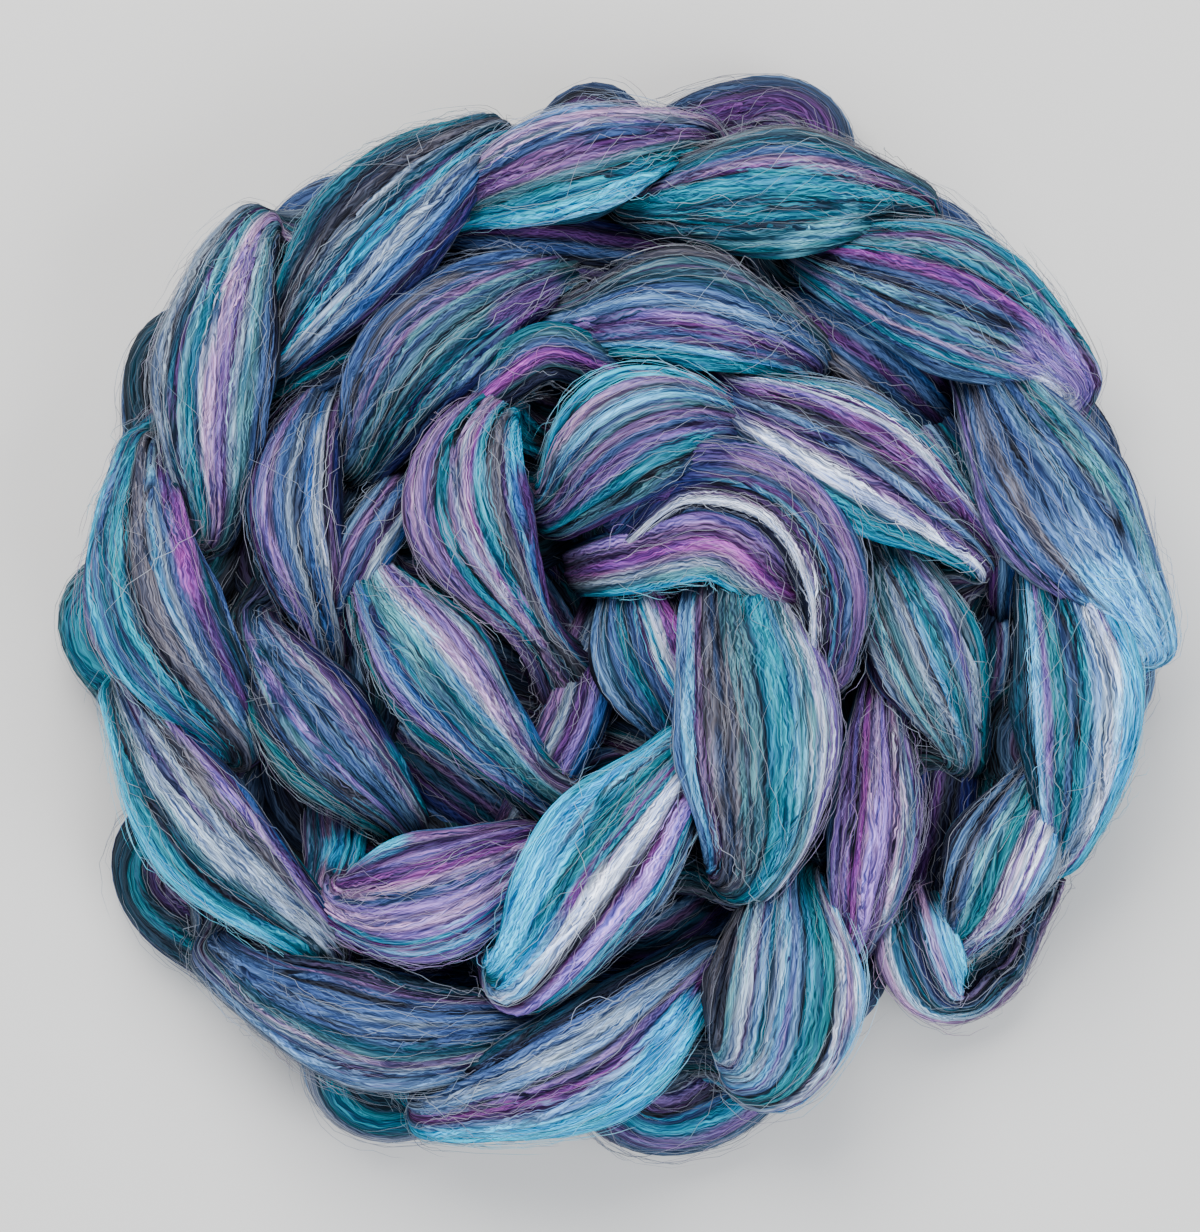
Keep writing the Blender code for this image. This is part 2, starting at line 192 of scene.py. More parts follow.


# Dyes across each fold, from its outer edge inwards, each with its width in tenths.
# The ink and navy bands stand partly for dye and partly for painted shade in the grooves and creases.
STRIPES = charts("""
I: pink 11 white 5 sky 3 deep 4 teal 3 ink 2 steel 4 navy 6 deep 5 pink 9 plum 3 navy 5 deep 7 teal 4 cyan 3;
H: silver 6 plum 2 sky 6 lilac 6 white 8 pink 5 deep 2 green 13 foam 7 slate 7 smoke 5 ink 5 steel 5 ink 7;
G: cyan 8 aqua 6 plum 3 lilac 5 white 8 silver 5 steel 8 teal 9 ink 4 slate 6 green 10 lilac 6 sky 8 ink 6
  deep 8;
F: slate 10 foam 7 green 8 silver 3 ink 5 slate 12 deep 6 steel 6 slate 13 ink 5 slate 10 smoke 11 slate 14
  deep 5 lilac 6 silver 3;
E: smoke 4 teal 13 ink 4 plum 5 mauve 5 foam 5 teal 7 ink 3 plum 4 orchid 13 plum 6 slate 8 ink 9 slate 6
  foam 6 ink 3 smoke 4 slate 9 teal 5 pink 5 slate 6 teal 12 slate 6 steel 4;
D: smoke 5 sage 7 deep 6 teal 4 slate 8 mauve 5 pink 6 orchid 3 ink 3 teal 24 deep 12 teal 8 ink 5 deep 14
  foam 4 green 6 deep 8;
C: steel 8 pink 10 silver 5 lilac 4 slate 8 plum 4 mauve 6 plum 8 mauve 10 sage 12 ink 3 teal 18 cyan 11
  sky 5 deep 9;
B: teal 6 deep 10 ink 8 smoke 6 ink 5 silver 6 deep 11 navy 3 plum 5 cyan 7 slate 5 silver 9 slate 5 steel 7
  blue 7 slate 5 plum 5 navy 11;
A: silver 8 smoke 3 deep 9 plum 7 foam 7 teal 8 slate 4 white 4 pink 11 lilac 7 plum 6 silver 6 foam 8
  sage 7 slate 7 ink 9;
O: pink 3 cyan 6 slate 9 teal 5 slate 5 teal 12 ink 6 smoke 13 slate 3 sky 3 silver 6 slate 7 plum 10
  slate 5 deep 7;
N: cyan 12 teal 8 ink 5 deep 9 sage 9 silver 7 slate 6 plum 5 silver 10 ink 3 smoke 10 lilac 8 plum 5 blue 4
  navy 4;
M: silver 4 steel 8 ink 2 plum 4 slate 5 silver 5 pink 4 sage 7 deep 9 slate 6 ink 3 slate 10 silver 3
  slate 12 ink 5 slate 6 mauve 5 ink 8 deep 6;
L: cyan 9 aqua 11 sky 4 steel 8 plum 6 orchid 6 navy 4 lilac 5 smoke 4 steel 9 silver 10 slate 13 ink 7
  deep 8;
J: sky 6 pink 5 white 5 ink 3 green 13 teal 7 ink 3 steel 7 lilac 4 sky 5 silver 8 teal 5 steel 7 mauve 3
  silver 10 foam 6 smoke 6 ink 7 smoke 4;
R: lilac 4 plum 3 steel 5 silver 4 mauve 4 white 4 pink 5 plum 3 mauve 4 lilac 11 rose 6 pink 6 orchid 9
  ink 3 lilac 6 mauve 5 lilac 8 steel 4;
S: teal 8 deep 4 silver 7 lilac 5 steel 7 sage 8 teal 7 sky 5 smoke 6 silver 9 sage 11 smoke 5 foam 9
  mauve 3 silver 7 plum 3;
T: foam 4 cyan 5 plum 7 white 7 lilac 8 orchid 4 plum 5 ink 7 smoke 6 steel 9 navy 6 mauve 8 lilac 3
  white 16 foam 4 teal 14 cyan 9;
U: smoke 6 sage 7 mauve 4 sage 5 deep 7 slate 8 steel 10 slate 5 lilac 7 plum 6 orchid 3 slate 7 mauve 5
  sky 7 teal 13;
V: slate 12 smoke 6 slate 6 mauve 7 foam 4 slate 5 sage 8 ink 5 foam 4 deep 10 teal 5 navy 5 foam 4 slate 6
  navy 9;
W: plum 5 slate 6 lilac 5 pink 3 slate 10 silver 6 ink 3 slate 5 blue 6 silver 5 white 4 ink 4 mauve 5
  navy 8;
X: foam 4 green 8 ink 8 slate 6 smoke 5 foam 4 slate 8 lilac 5 deep 7 slate 9 ink 3 steel 5 slate 6 mauve 5
  silver 6 mauve 5 plum 5 navy 9;
Z: lilac 8 sky 5 orchid 5 cyan 5 lilac 8 pink 12 lilac 8 slate 6 pink 7 orchid 6 plum 9 lilac 5 plum 5
  mauve 10;
AA: slate 4 cyan 8 lilac 4 rose 13 orchid 3 ink 4 smoke 5 white 18 silver 4 ink 2 orchid 5 cyan 3 green 10
  deep 5 teal 8 silver 3 sky 3 aqua 14 cyan 9;
AB: lilac 5 white 6 foam 5 sage 7 sky 4 teal 20 deep 4 sage 8 foam 3 sage 5 smoke 8 ink 3 slate 3 smoke 8
  ink 2 pink 3 plum 5 sky 6 steel 9;
AC: slate 5 lilac 5 mauve 9 lilac 4 smoke 3 slate 5 plum 6 sky 2.5 ink 3 ink 3 plum 4 ink 3 pink 2.5
  white 7.5 ink 10;
AD: cyan 9 ink 2 pink 8 silver 3 slate 5 sky 5 slate 5 foam 4 ink 2 mauve 7 slate 7 plum 4 lilac 5 slate 4
  teal 9 ink 4 sage 7 foam 3 slate 6 plum 10;
AE: mauve 7 pink 6 lilac 6 mauve 4 ink 3 teal 8 ink 5 pink 7 white 4 pink 6 orchid 6 sky 2 teal 8 ink 4
  smoke 13 plum 5 sky 4 blue 6 plum 8;
AF: green 7 ink 5 lilac 6 steel 8 blue 6 plum 3 teal 6 foam 4 sage 8 teal 4 foam 8 sky 4 white 4 pink 8
  lilac 6 mauve 6 silver 8 pink 3 ink 2 teal 6;
AG: orchid 12 lilac 5 white 5 cyan 5 plum 4 slate 7 deep 4 teal 5 slate 9 deep 6 steel 6 ink 4
""")

# Dyes of the lower folds that show.
LOWER_STRIPES = charts("""
D: slate 3 plum 13 mauve 4 plum 6 steel 10 slate 8;
C: slate 3 ink 3 plum 4 slate 7 deep 10 slate 8;
A: deep 5 sage 3 ink 4 deep 8 slate 5 deep 6 teal 5 ink 10;
O: foam 2 teal 10 deep 6 teal 5 steel 6 slate 10;
N: deep 6 teal 5 deep 3 plum 5 pink 3 white 2 plum 8 ink 5;
M: white 2 teal 8 deep 6 slate 8 steel 6;
L: steel 2 lilac 4 cyan 5 blue 3 ink 2 plum 3 lilac 5 silver 6 white 3 ink 8
""")
HIDDEN = "slate 12 navy 8 plum 6 deep 12 mauve 6 steel 8 ink 8 teal 6 slate 10"

LINK_STRIPES = charts("""
beside H: navy 10 plum 5 ink 6 navy 10;
arch: ink 10 sage 4 plum 5 orchid 9 slate 7 sage 6 teal 4;
inner band: cyan 7 foam 4 silver 6 pink 5 orchid 10 plum 4 mauve 5 lilac 9 steel 3 blue 5;
west band: steel 6 mauve 6 slate 8 plum 4 silver 6 blue 5;
middle: mauve 7 silver 6 plum 6 lilac 6 blue 7;
east link: smoke 6 slate 6 plum 6 slate 7 blue 5 plum 8;
north link: lilac 4 ink 5 slate 9 plum 8 navy 8;
corner link: slate 6 ink 7 teal 5 deep 10;
side link: plum 6 steel 5 blue 6 silver 7
""")

# Patches on one fold, of dye and some of painted shade and light: from x, y to x, y, width, dye.
TOUCHES = {
    "I": ((65.5, -62, 70.5, -76, 7, "sky"), (67.5, -66, 68.5, -72, 5, "cyan")),
    # The sky patch on F is partly dye and partly painted light on its slanting tip.
    "F": ((104, 2, 93, 17, 11, "steel"), (107, -5, 99, 7, 12, "sky")),
    "E": ((91, 46, 82, 53, 9, "lilac"), (90, 44, 84, 48, 3.5, "white")),
    "D": ((34, 74.5, 45.5, 80, 3.5, "foam"),),
    # Painted shade: a navy patch in the crease where T dives under AD.
    "T": ((17, 47.5, 23, 38, 8, "navy"),),
    # Painted shade: navy patches in the crease where AC meets AD.
    "AC": ((24, 36.5, -2, 17.5, 5, "navy"), (16, 39, 11, 29, 7, "navy")),
    # Partly dye, partly painted light: the aqua patch brightens AA's slanting outer edge.
    "AA": ((-23, -70, -13, -38, 8, "aqua"),),
    # Partly dye, partly painted light: the aqua patch brightens L's slanting outer edge.
    "L": ((13, -80, 1, -97, 7, "aqua"),),
    # Partly dye, partly painted light: the aqua patch brightens G's slanting outer edge.
    "G": ((101, -6, 99, -32, 4, "aqua"),),
    # Painted shade: a navy patch along AD's side of the same crease.
    "AD": ((23, 37.5, 4, 23, 2.5, "navy"),),
    "O": ((-89, 24, -86, 8, 4, "orchid"),),
    "N": ((-80, -44, -60, -64, 4, "silver"), (-94, -30, -78, -50, 3, "silver")),
    "S": ((70, 6, 75, -3, 6, "teal"),),
    "V": ((-21, 62, -15, 64, 8, "plum"),),
    "Z": ((-57, -47, -46, -44, 5, "cyan"),),
    "X": ((-44, -27, -38, -37, 4, "teal"),),
    "AE": ((-21, 47, -20, 32, 4, "cyan"),),
    "AF": ((-18, -15, -17, -23, 6, "blue"),),
}


def hue(label, red, green, blue):
    """A dye as a colour property, from its red, green and blue of 255."""
    dye, text = (red / 255, green / 255, blue / 255), f"{label} dye of the wool"
    return bpy.props.FloatVectorProperty(
        name=label, description=text, default=dye, size=3, min=0.0, max=1.0, subtype="COLOR_GAMMA"
    )


def measure(name, label, default, low=0.0):
    """A length in metres as a property."""
    return bpy.props.FloatProperty(name=name, description=label, default=default, min=low, unit="LENGTH")


def whole(name, label, default, low=0):
    """A whole number as a property."""
    return bpy.props.IntProperty(name=name, description=label, default=default, min=low)


class DyePalette(bpy.types.PropertyGroup):
    """The dyes that the wool is blended from."""

    teal: hue("Bright teal", 0, 143, 153)
    deep: hue("Dark teal", 12, 74, 88)
    cyan: hue("Bright cyan", 34, 198, 216)
    aqua: hue("Brightest cyan", 14, 200, 230)
    sky: hue("Pale blue", 156, 218, 244)
    blue: hue("Clear mid blue", 84, 118, 166)
    slate: hue("Dull blue grey", 92, 110, 142)
    steel: hue("Light blue grey", 138, 164, 190)
    lilac: hue("Light violet", 170, 142, 192)
    orchid: hue("Strong magenta", 160, 100, 156)
    plum: hue("Dark purple", 102, 68, 112)
    mauve: hue("Dusty purple grey", 142, 112, 146)
    rose: hue("Bright pink violet", 212, 180, 236)
    pink: hue("Dusty pink", 192, 160, 186)
    silver: hue("Pale grey", 168, 178, 186)
    white: hue("Undyed white", 238, 240, 246)
    foam: hue("Pale grey green", 138, 186, 188)
    sage: hue("Grey green", 94, 126, 130)
    green: hue("Mid green", 42, 124, 126)
    smoke: hue("Brown grey", 114, 109, 112)
    # navy and ink also stand for painted shade where the charts put them in creases.
    navy: hue("Dark blue", 34, 36, 82)
    ink: hue("Blue black", 22, 22, 44)


class BraidSizes(bpy.types.PropertyGroup):
    """Sizes and counts of the strands, locks and fibres."""

    step: measure("Section spacing", "Distance between a strand's sections", 0.0028, 0.0005)
    corners: whole("Corners", "Corners of a strand's section", 80, 12)
    ridge: measure("Ridge height", "How far a pale band stands over a dark one", 0.0013)
    crimp_length: measure("Crimp length", "One wave of a fibre", 0.0027, 0.0005)
    crimp_width: measure("Crimp width", "How far a fibre waves to either side", 0.00019)
    locks: whole("Locks", "Locks that lie on the strands", 920)
    lock_width: measure("Lock width", "Width of a usual lock", 0.0013, 0.0001)
    fibres: whole("Fibres", "Fibres that stand off the wool", 4150)
    fibre_width: measure("Fibre width", "Width of a fibre", 0.00012, 0.00002)
    seed: whole("Seed", "Start of the chance values", 7)


# ---- the strands' routes


def spline(points, at):
    """Points at fractional indices of a smooth curve through the points; past an end it runs straight on."""
    points = np.asarray(points, float)
    at = np.atleast_1d(np.asarray(at, float))
    last = len(points) - 1
    i = np.clip(np.floor(at).astype(int), 0, last - 1)
    t = (at - i)[:, None]
    longer = np.vstack([2 * points[0] - points[1], points, 2 * points[-1] - points[-2]])
    a, b, c, d = longer[i], longer[i + 1], longer[i + 2], longer[i + 3]
    curved = b + t / 2 * (c - a + t * (2 * a - 5 * b + 4 * c - d + t * (3 * (b - c) + d - a)))
    return np.where((t < 0) | (t > 1), b + (c - b) * t, curved)


def plait_line():
    """The centre line of the plait, seen from above, through the crowns of its folds."""
    x = FOLD.index("crown_x")
    return [row[x : x + 2] for row in FOLDS.values()]


def outward(at):
    """The direction out of the coil, across the plait, at a fold number."""
    x, y = (spline(plait_line(), at + NEAR) - spline(plait_line(), at - NEAR))[0]
    return np.array((y, -x)) / np.hypot(x, y)


# A lower fold's points: share of its way, swing to a side, rise to the crown, share of its width, half turns.
LOW_STOPS = (
    (0.29, 0.0, 0.34, NECK, 1.0),
    (0.38, 1.0, 0.14, 0.88, 1.25),
    (0.50, 0.0, 0.0, 1.0, 1.5),
    (0.62, -1.0, 0.14, 0.88, 1.75),
    (0.71, 0.0, 0.34, NECK, 2.0),
)


def low_path(number, before, after):
    """A strand's way under the next two folds.

    It goes down at the tip of one fold, round the plait's lower edge and up to the start of another.
    """
    line, names = plait_line(), list(FOLDS)
    half_way = number + STRANDS / 2
    middle = spline(line, half_way)[0]
    *crest, width = LOWER.get(names[number + 1], (*(middle - outward(half_way) * LOW_INSET), LOW_WIDTH))
    hook = TURNS.get(names[number])
    down = np.array(hook[-1][:2] if hook else (before["end_x"], before["end_y"]))
    up = np.array((after["start_x"], after["start_y"]))
    path = []
    for share, swing, rise, size, turn in LOW_STOPS:
        at = number + STRANDS * share
        fold, tip = (before, down) if share < 0.5 else (after, up)
        place = spline(line, at)[0] + outward(at) * PLAIT_HALF * swing
        if swing:
            place = place + (np.array(crest) - middle) * CREST_PULL
        elif size == 1.0:
            place = crest
        else:
            place = place + (tip - place) * DIVE
        path.append((*place, LOW_HEIGHT + (fold["height"] - LOW_HEIGHT) * rise, width * size, turn * pi))
    return path


def strand_path(first):
    """Points of one strand, each x, y, z, width and how far round the plait it has come."""
    names = list(FOLDS)
    rows = [dict(zip(FOLD, row)) for row in FOLDS.values()]
    path = [(*point, 0.0) for point in BEGINNINGS[names[first]]]
    for lap, number in enumerate(range(first, len(rows), STRANDS)):
        name, row = names[number], rows[number]
        bends = dict(zip(FOLD_TURNS, BENDS.get(name, ())))
        for place, turn in FOLD_TURNS.items():
            height = row["height"] - row.get(place + "_drop", 0)
            share = row.get(place + "_share", 100) / 100
            width = row["width"] * share * (1.0 if place == "crown" else TIP)
            x, y = (row[place + c] + (row["crown" + c] - row[place + c]) * PULL for c in ("_x", "_y"))
            path.append((x, y, height, width, turn * pi + lap * tau))
            if place in bends:
                path.append((*bends[place], (turn + BEND_TURN) * pi + lap * tau))
        path += [(*point, pi * HOOK_TURN + lap * tau) for point in TURNS.get(name, ())]
        if number + STRANDS < len(rows):
            under = low_path(number, row, rows[number + STRANDS])
            path += [(*p[:4], p[4] + lap * tau) for p in under]
        else:
            path += [(*point, pi + lap * tau) for point in ENDINGS[name]]
    return path


def link_path(row):
    """Points of a short link, whose ends dive into the plait."""
    r = dict(zip(LINK, row))
    start, middle, end = (np.array((r[k + "_x"], r[k + "_y"])) for k in ("start", "middle", "end"))
    tail, head = start + (start - middle) * LINK_REACH, end + (end - middle) * LINK_REACH
    spots = ((tail, 15, 0.7), (start, 6, 0.85), (middle, 0, 1.0), (end, 6, 0.85), (head, 15, 0.7))
    height, width = r["height"], r["width"]
    return [(*spot, max(height - drop, LOW_HEIGHT), width * share, pi / 2) for spot, drop, share in spots]


def sections(path, step):
    """Sections along a path: centres, side and face directions, half widths, turns, distances and bends."""
    path = np.asarray(path, float)
    fine = np.linspace(0, len(path) - 1, SAMPLES * len(path))
    way = spline(path, fine)[:, :3]
    bends = np.linalg.norm(np.diff(unit(np.gradient(way, axis=0)), axis=0), axis=1)
    pace = np.linalg.norm(np.diff(way, axis=0), axis=1) + BEND_REACH * bends
    pace = np.concatenate([[0], np.cumsum(pace)])
    at = np.interp(np.linspace(0, pace[-1], max(int(pace[-1] / step), 8)), pace, fine)
    row = spline(path, at)
    along = unit(spline(path, at + NEAR)[:, :3] - spline(path, at - NEAR)[:, :3])
    turn = row[:, 4]
    ahead = unit((spline(path, at + AHEAD) - spline(path, at - AHEAD))[:, :2])
    face = np.column_stack([-ahead * np.cos(turn)[:, None], np.abs(np.sin(turn)) + FACE_UP])
    face = unit(face - along * (face * along).sum(1)[:, None])
    side = np.cross(along, face)
    run = np.concatenate([[0], np.cumsum(np.linalg.norm(np.diff(row[:, :3], axis=0), axis=1))])
    bend = np.gradient(along, run, axis=0)
    for _ in range(2):
        bend[1:-1] = (bend[:-2] + 2 * bend[1:-1] + bend[2:]) / 4
    return dict(centre=row[:, :3], side=side, face=face, half=row[:, 3] / 2, turn=turn, run=run, bend=bend)


def resampled(run, rings):
    """The same sections, as a set number of rings."""
    at, old = np.linspace(0, len(run["run"]) - 1, rings), np.arange(len(run["run"]))
    return {key: np.apply_along_axis(lambda v: np.interp(at, old, v), 0, value) for key, value in run.items()}


# ---- small helpers


def unit(v):
    """Vectors of length one."""
    return v / np.maximum(np.linalg.norm(v, axis=-1, keepdims=True), 1e-9)


def ease(low, high, x):
    """A smooth step from 0 at low to 1 at high."""
    t = np.clip((x - low) / (high - low), 0.0, 1.0)
    return t * t * (3 - 2 * t)


def drift(x, y, seed, period=TILE):
    """Smooth chance values from -1 to 1 over a plane, which repeat in x after a period."""
    grid = np.random.default_rng(seed).uniform(-1, 1, (period, TILE))
    i, j = np.floor(x).astype(int), np.floor(y).astype(int)
    s, t = ease(0, 1, x - i), ease(0, 1, y - j)
    i, k = i % period, (i + 1) % period
    near, far = (grid[i, n % TILE] * (1 - s) + grid[k, n % TILE] * s for n in (j, j + 1))
    return near * (1 - t) + far * t


def linear(colour):
    """A display colour as light, as deep as wool takes it up."""
    c = np.asarray(colour, float)
    c = np.where(c <= 0.04045, c / 12.92, ((c + 0.055) / 1.055) ** 2.4)
    grey = c.mean()
    return np.clip(grey + (c - grey) * DYE_DEPTH, 0.003, 1.0) * WOOL_TINT * (0.76 + 0.56 * grey)


def chart(text, palette, fine=400):
    """A row of dyes as colours and heights at even places across a fold, with painted shade at band edges."""
    words = text.split()
    names, widths = words[::2], np.array([float(w) / 10 for w in words[1::2]])
    edges = np.concatenate([[0], np.cumsum(widths) / widths.sum()])
    at = (np.arange(fine) + 0.5) / fine
    pick = np.clip(np.searchsorted(edges, at, side="right") - 1, 0, len(names) - 1)
    colours = np.array([linear(getattr(palette, n)) for n in names])
    light = np.array([float(np.mean(getattr(palette, n))) for n in names])
    inside = (at - edges[pick]) / (edges[pick + 1] - edges[pick])
    arch = np.sin(pi * inside) * np.minimum(1.0, widths[pick])
    heights = (light[pick] - 0.5) * 0.9 + 0.55 * arch - 0.25
    heights = np.convolve(np.pad(heights, 4, mode="edge"), np.ones(9) / 9, mode="valid")
    edge = np.minimum(inside, 1 - inside) * widths[pick]
    # Painted shade: each band darkens towards its edges, in the grooves between bands.
    return colours[pick] * (0.30 + 0.70 * ease(0.0, 0.34, edge))[:, None], heights


# ---- meshes


def placed(name, data, place=(0.0, 0.0, 0.0)):
    """A new object in the scene."""
    obj = bpy.data.objects.new(name, data)
    obj.location = place
    bpy.context.scene.collection.objects.link(obj)
    return obj


def rolled(name, points, dye, second, along, across):
    """A piece of closed tubes, rolled up from one grid.

    The arrays run over tubes, rings and corners. A ring's last corner meets its first one, and a tube's
    end rings are points. along and across give each corner's place on the wool, in centimetres.
    """
    tubes, rings, corners = points.shape[:3]
    total = tubes * rings * corners
    bm = bmesh.new()
    bm.loops.layers.uv.new("strand")
    bmesh.ops.create_grid(bm, x_segments=corners - 1, y_segments=tubes * rings - 1, size=1.0, calc_uvs=True)
    bm.verts.index_update()
    between = [f for f in bm.faces if min(v.index for v in f.verts) // corners % rings == rings - 1]
    if tubes > 1:
        bmesh.ops.delete(bm, geom=between, context="FACES")
    mesh = bpy.data.meshes.new(name)
    bm.to_mesh(mesh)
    bm.free()
    mesh.vertices.foreach_set("co", (points.reshape(-1, 3) * MM).ravel().astype(np.float32))
    # The dye layers carry the painted shade and painted light of the charts, folds, links and touches.
    for layer, colours in (("dye", dye), ("second_dye", second)):
        wide = np.concatenate([colours.reshape(-1, 3), np.ones((total, 1))], axis=1).astype(np.float32)
        mesh.attributes.new(layer, "FLOAT_COLOR", "POINT").data.foreach_set("color", wide.ravel())
    corner_vertex = np.empty(len(mesh.loops), np.int32)
    mesh.loops.foreach_get("vertex_index", corner_vertex)
    places = np.stack([across.reshape(-1)[corner_vertex], along.reshape(-1)[corner_vertex]], axis=1)
    mesh.uv_layers["strand"].data.foreach_set("uv", places.ravel().astype(np.float32))
    bm = bmesh.new()
    bm.from_mesh(mesh)
    bm.verts.ensure_lookup_table()
    ends, edges = (0, rings - 1), (0, corners - 1)
    seam = [bm.verts[i] for i in range(total) if i % corners in edges or i // corners % rings in ends]
    bmesh.ops.remove_doubles(bm, verts=seam, dist=1e-7)
    bmesh.ops.recalc_face_normals(bm, faces=bm.faces)
    for face in bm.faces:
        face.smooth = True
    bm.to_mesh(mesh)
    bm.free()
    obj = placed(name, mesh)
    mesh.materials.append(fibre_material() if name.startswith("fibre") else wool_material())
    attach(obj, "root")
    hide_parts(NODE)
    return obj


def ring_angles(corners):
    """Angles round a section: most corners lie on its outer side."""
    top = int(corners * TOP_SHARE)
    upper = np.linspace(-OVERHANG, pi + OVERHANG, top)
    under = np.linspace(pi + OVERHANG, tau - OVERHANG, corners - top + 2)[1:]
    return np.concatenate([upper, under])


def tube_points(run, angles, rise):
    """Points of the sections, pushed out by rise, with pointed ends and no overlap inside a bend."""
    half = run["half"][:, None]
    wide = np.cos(angles)[None] * (half + rise)
    high = np.sin(angles)[None] * (half * FLATNESS + rise)
    offset = run["side"][:, None] * wide[..., None] + run["face"][:, None] * high[..., None]
    bend = run["bend"][:, None]
    inside = (offset * bend).sum(-1)
    free, room = 0.55, 0.37
    kept = np.where(inside > free, free + room * np.tanh((inside - free) / room), inside)
    offset = offset - bend * ((inside - kept) / np.maximum((bend * bend).sum(-1), 1e-9))[..., None]
    points = run["centre"][:, None] + offset
    points[0], points[-1] = run["centre"][0], run["centre"][-1]
    points[..., 2] = np.maximum(points[..., 2], 0.0)
    points[..., :2] -= MIDDLE
    return points


def fold_tables(names, palette):
    """The charts along one strand, an upper and a lower one in turn."""
    after = dict(zip(FOLDS, list(FOLDS)[1:]))
    rows = [text for name in names for text in (STRIPES[name], LOWER_STRIPES.get(after.get(name), HIDDEN))]
    return [chart(text, palette) for text in (*rows, HIDDEN)]


def corner_places(run, angles):
    """How far round and along each corner of a tube lies."""
    grid = np.zeros((len(run["run"]), len(angles)))
    return grid + angles / tau, grid + run["run"][:, None]


def dyed(run, angles, tables, seed):
    """Colours, second colours and heights at every corner of a tube; the last chart is for its underside."""
    share, length = corner_places(run, angles)
    across = (1 - np.cos(angles)) / 2
    waver = 0.034 * drift(share * 5, length / 22, seed + 1, 5)
    waver = waver + 0.010 * drift(share * 17, length / 7, seed + 2, 17)
    stations = np.clip(run["turn"] / pi - 0.5, 0, len(tables) - 2.001)[:, None]
    mixed = stations + 0.10 * drift(share * 40, length / 20, seed + 3, 40)
    low = np.clip(np.floor(mixed), 0, len(tables) - 2).astype(int)
    part = mixed - low
    switch = np.where(low % 2 == 0, SWITCH, 1 - SWITCH)
    pick = np.clip(low + (part > switch), 0, len(tables) - 2)
    colours, heights = (np.array(values) for values in zip(*tables))
    fine = colours.shape[1]
    under = angles % tau > pi
    below = (angles % tau - pi) / pi + 0.37 * seed

    def read(values, offset):
        place = np.clip((across + waver + offset) * fine, 0, fine - 1).astype(int)
        place = np.where(under, ((below + 2 * waver + offset) % 1 * fine).astype(int), place)
        return values[np.where(under, len(tables) - 1, pick), place]

    near = 0.045 * drift(share * 46, length / 26, seed + 4, 46)
    second = read(colours, near * 1.6 + 0.03 * np.sign(near))
    hollow = 1 - 0.55 * ease(0.25, 0.0, np.abs(part - switch))
    return read(colours, 0.0), second, read(heights, 0.0) * hollow


def touch_up(points, colours, near, marks, palette, seed):
    """Patches of dye with streaky edges, some of them painted shade and painted light, laid on the upper side
    of the fold that near marks.
    """
    row, corner = np.indices(points.shape[:2])
    streaks = drift(corner / 1.1, row / 14.0, seed)
    for x0, y0, x1, y1, width, name in marks:
        a, b = np.array((x0, y0)) - MIDDLE, np.array((x1, y1)) - MIDDLE
        part = np.clip(((points[..., :2] - a) @ (b - a)) / ((b - a) @ (b - a)), 0, 1)
        gap = np.linalg.norm(points[..., :2] - (a + part[..., None] * (b - a)), axis=-1) / (width / 2)
        mask = 0.8 * ease(1.4, 0.5, gap + 0.8 * streaks) * ease(15, 19, points[..., 2]) * near
        colours = colours + mask[..., None] * (linear(getattr(palette, name)) - colours)
    return colours


def build_strand(first, sizes, palette):
    """Points, colours and places of one strand."""
    seed = sizes.seed * 100 + first * 10
    run = sections(strand_path(first), sizes.step / MM)
    angles = ring_angles(sizes.corners)
    names = list(FOLDS)[first::STRANDS]
    dye, second, rise = dyed(run, angles, fold_tables(names, palette), seed)
    share, length = corner_places(run, angles)
    ridge = sizes.ridge / MM
    rise = rise * ridge + ridge * (
        0.42 * drift(share * 34, length / 22, seed + 5, 34)
        + 0.25 * drift(share * 70, length / 12, seed + 6, 70)
        + 0.55 * drift(share * 9, length / 15, seed + 7, 9)
    )
    rise[:, -1] = rise[:, 0]
    points = tube_points(run, angles, rise)

    # Painted shade: low wool and the ends of the folds are darkened, less so near the coil's rim and not on
    # the underside.
    lap = run["turn"][:, None] / tau - 0.25
    crowns = np.interp(lap, range(len(names)), [FOLDS[name][FOLD.index("height")] for name in names])
    inner = 0.30 + 0.70 * ease(106, 90, np.hypot(points[..., 0], points[..., 1]))
    painted_fold_shade = 1 - 0.55 * inner * ease(0.88, 0.45, points[..., 2] / crowns)
    past = abs(lap - np.round(lap))
    painted_fold_shade = painted_fold_shade * (1 - 0.54 * ease(0.14, 0.23, past) * (1 - (1 - inner) * ease(0.3, 0.4, past)))
    painted_fold_shade = np.where((angles > pi + 0.3) & (angles < tau - 0.3), 1.0, painted_fold_shade)
    layers = [dye * painted_fold_shade[..., None], second * painted_fold_shade[..., None]]
    for k, name in enumerate(names):
        near = ease(0.5, 0.3, abs(lap - k))
        marks = TOUCHES.get(name, ())
        layers = [touch_up(points, colours, near, marks, palette, seed + 8) for colours in layers]
    for colours in layers:
        colours[:, -1] = colours[:, 0]
    along, across = length / 10 + 500 * first, np.broadcast_to(angles * 1.3, rise.shape)
    return dict(zip(GRIDS, (points, *layers, along, across)), angles=angles, run=run)


